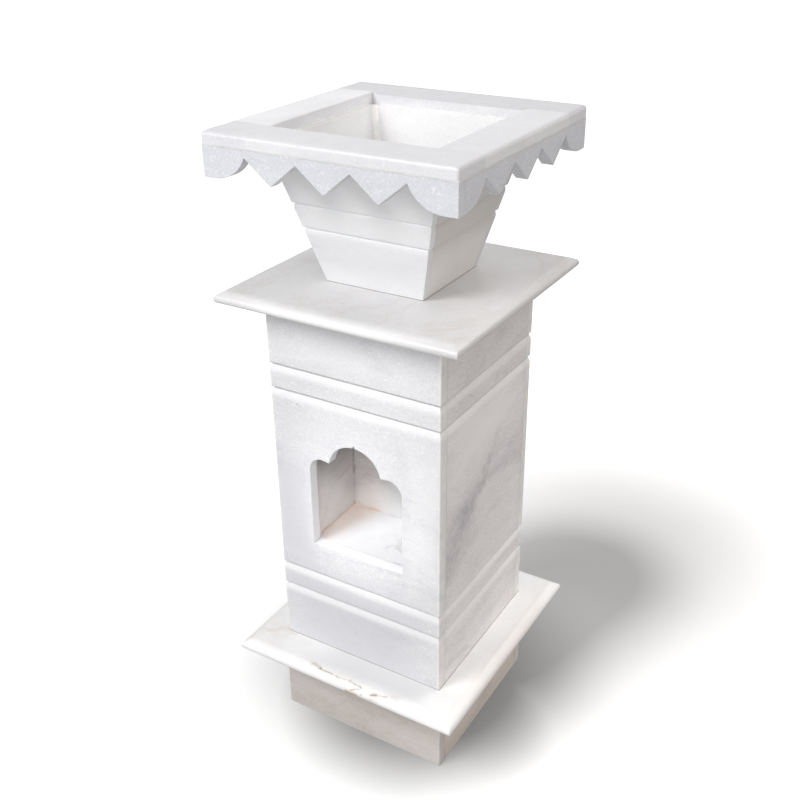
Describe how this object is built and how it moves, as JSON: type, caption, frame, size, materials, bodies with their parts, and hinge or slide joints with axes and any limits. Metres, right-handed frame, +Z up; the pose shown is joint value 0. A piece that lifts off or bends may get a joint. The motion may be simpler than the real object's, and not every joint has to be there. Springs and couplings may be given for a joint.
{
  "type": "tulsi vrindavan planter",
  "caption": "Free-standing marble altar planter: tapered square bowl with scalloped apron on a hollow grooved column with an arched lamp niche and stepped base.",
  "frame": {"origin": "on the ground, under the middle of the plinth", "axes": "+Z up, the lamp niche faces -Y, +X to the right of someone who faces the niche"},
  "size_m": [0.363, 0.38, 0.915],
  "materials": {
    "white_marble": "honed",
    "veined_marble": "polished",
    "beige_marble": "honed"
  },
  "bodies": {
    "root": {"rim_front": "white_marble", "rim_back": "white_marble", "rim_left": "white_marble", "rim_right": "white_marble", "apron_front": "white_marble", "apron_back": "white_marble", "apron_left": "white_marble", "apron_right": "white_marble", "bowl_wall_front": "white_marble", "bowl_wall_back": "white_marble", "bowl_wall_left": "white_marble", "bowl_wall_right": "white_marble", "bowl_floor": "white_marble", "cap_slab": "white_marble", "column_front": "white_marble", "column_back": "white_marble", "column_left": "white_marble", "column_right": "white_marble", "niche_floor": "white_marble", "niche_left": "white_marble", "niche_right": "white_marble", "niche_back": "white_marble", "niche_ceiling": "white_marble", "base_plate": "veined_marble", "plinth_front": "beige_marble", "plinth_back": "beige_marble", "plinth_left": "beige_marble", "plinth_right": "beige_marble"}
  },
  "joints": []
}
